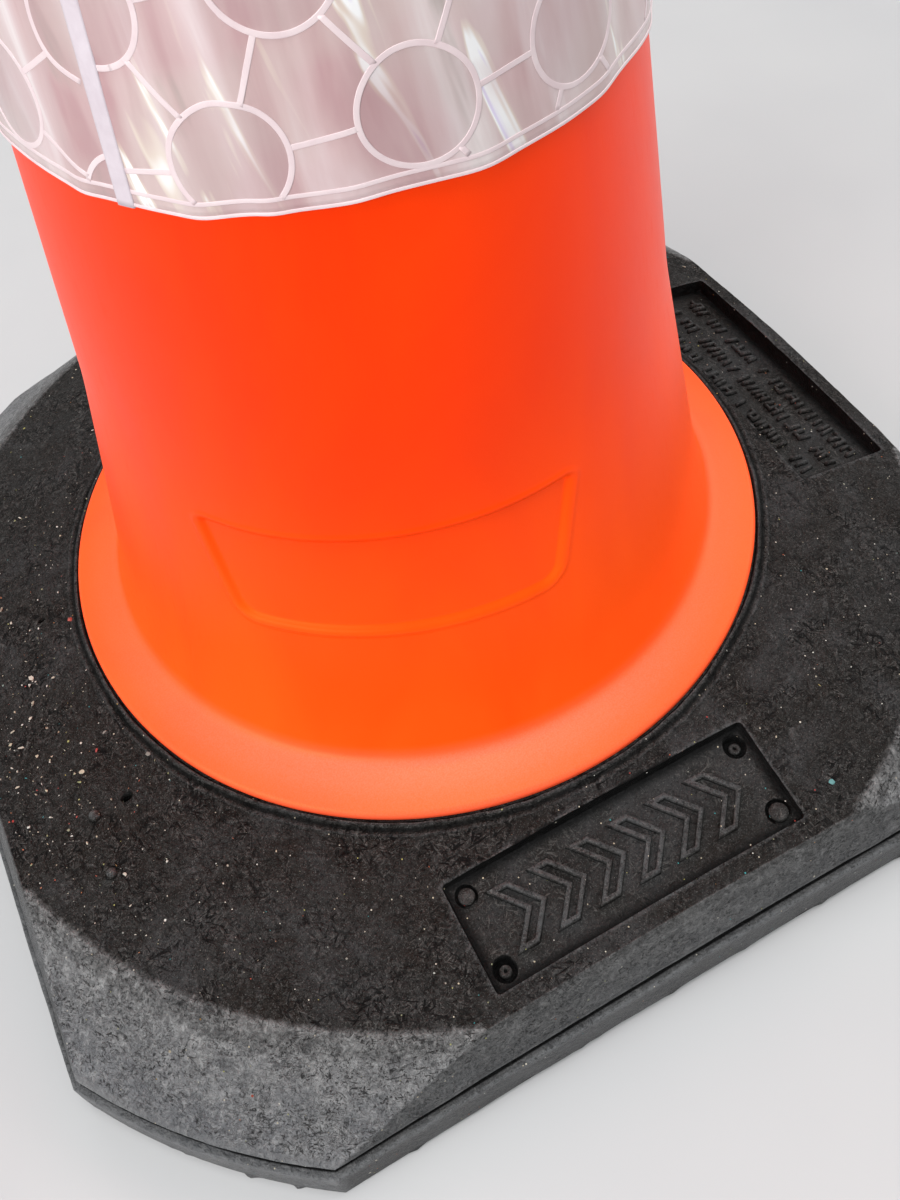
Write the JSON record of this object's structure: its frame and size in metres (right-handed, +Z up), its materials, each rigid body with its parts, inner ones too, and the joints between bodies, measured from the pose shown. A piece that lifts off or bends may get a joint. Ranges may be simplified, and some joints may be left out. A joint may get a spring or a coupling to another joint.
{
  "type": "traffic cone",
  "caption": "Tall hollow road cone on a heavy square rubber base, with a removable reflective sleeve round its tapered body.",
  "frame": {"origin": "centre of the footprint, on the ground plane that the corner feet rest on", "axes": "+Z up along the cone's axis; the front moulded panel faces -Y and the larger one faces +X"},
  "size_m": [0.43, 0.43, 0.75],
  "materials": {
    "rubber": "moulded recycled rubber, matt, with flecks of other colours",
    "orange_plastic": "satin fluorescent orange polyethylene",
    "sleeve_backing": "white vinyl backing sheet",
    "sleeve_film": "clear prismatic reflective film with welded ring pattern",
    "sleeve_seam": "welded lap of clear vinyl"
  },
  "bodies": {
    "cone": {"rubber_base": "rubber", "cone_body": "orange_plastic"},
    "sleeve": {"sleeve_backing": "sleeve_backing", "sleeve_film": "sleeve_film", "sleeve_seam": "sleeve_seam"}
  },
  "joints": [
    {"name": "sleeve_lift", "type": "slide", "parent": "cone", "child": "sleeve", "axis": [0, 0, 1], "range_m": [0, 0.47]}
  ]
}
